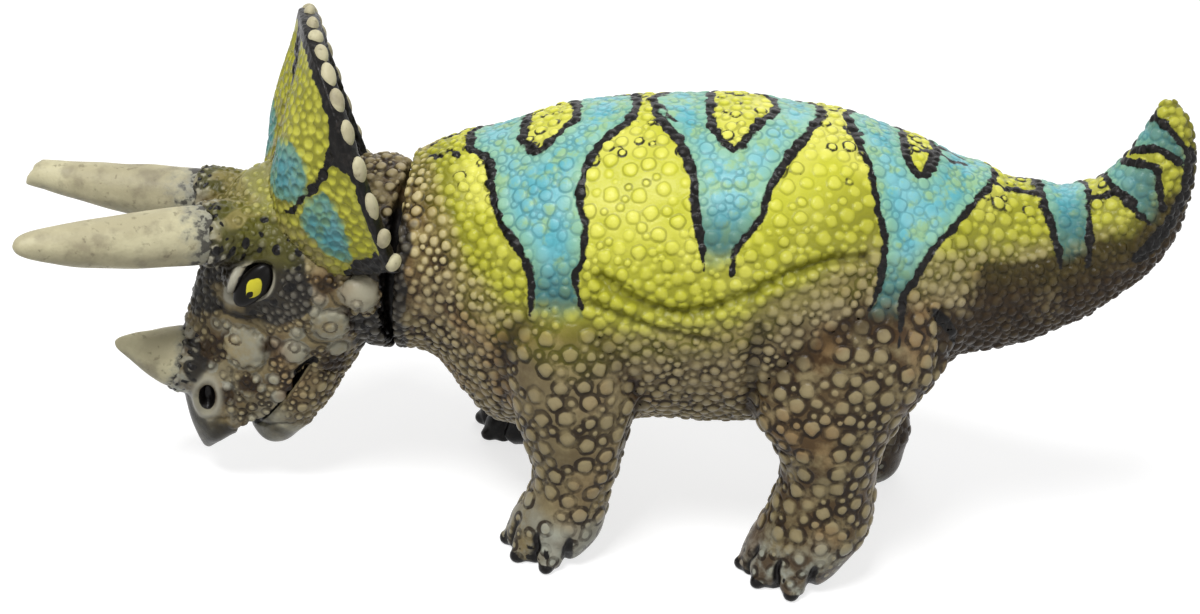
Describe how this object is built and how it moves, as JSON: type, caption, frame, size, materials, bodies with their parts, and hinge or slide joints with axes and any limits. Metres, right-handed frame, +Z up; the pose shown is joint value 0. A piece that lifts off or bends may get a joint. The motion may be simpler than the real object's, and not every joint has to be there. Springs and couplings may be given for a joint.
{
  "type": "toy dinosaur figure",
  "caption": "Standing toy figure of a horned dinosaur with a fan-shaped frill, long brow horns, pebbled skin painted in bands and a head that swivels at the neck.",
  "frame": {"origin": "on the floor, under the middle of the whole figure", "axes": "-X the way the figure heads, -Y its left side, +Z up"},
  "size_m": [0.2824, 0.0896, 0.1256],
  "materials": {
    "back_skin": "soft vinyl with a pebbled skin, painted yellow with blue bands and black lines, satin",
    "tail_skin": "the same vinyl and paint as the back, satin",
    "leg_skin": "soft vinyl with a pebbled skin, taupe with a dark brown wash, satin",
    "head_skin": "soft vinyl, taupe with charcoal paint round the eyes, satin",
    "frill_skin": "soft vinyl painted olive yellow, blue and black with pale studs, satin",
    "horn": "smooth bone-coloured vinyl with a brown wash, satin",
    "eye": "gloss black with a painted yellow iris",
    "neck_ball": "unpainted plastic, hidden in the neck"
  },
  "bodies": {
    "body": {"trunk": "back_skin", "tail": "tail_skin", "front_left_leg": "leg_skin", "front_right_leg": "leg_skin", "hind_left_leg": "leg_skin", "hind_right_leg": "leg_skin", "neck_ball": "neck_ball"},
    "head": {"head": "head_skin", "lower_jaw": "head_skin", "frill": "frill_skin", "left_eye": "eye", "right_eye": "eye", "left_brow_horn": "horn", "right_brow_horn": "horn", "nose_horn": "horn"}
  },
  "joints": [
    {"name": "head_turn", "type": "hinge", "parent": "body", "child": "head", "pos_m": [-0.05088, 0.00108, 0.0647], "axis": [0, 0, 1], "range_deg": [-35, 5]}
  ]
}
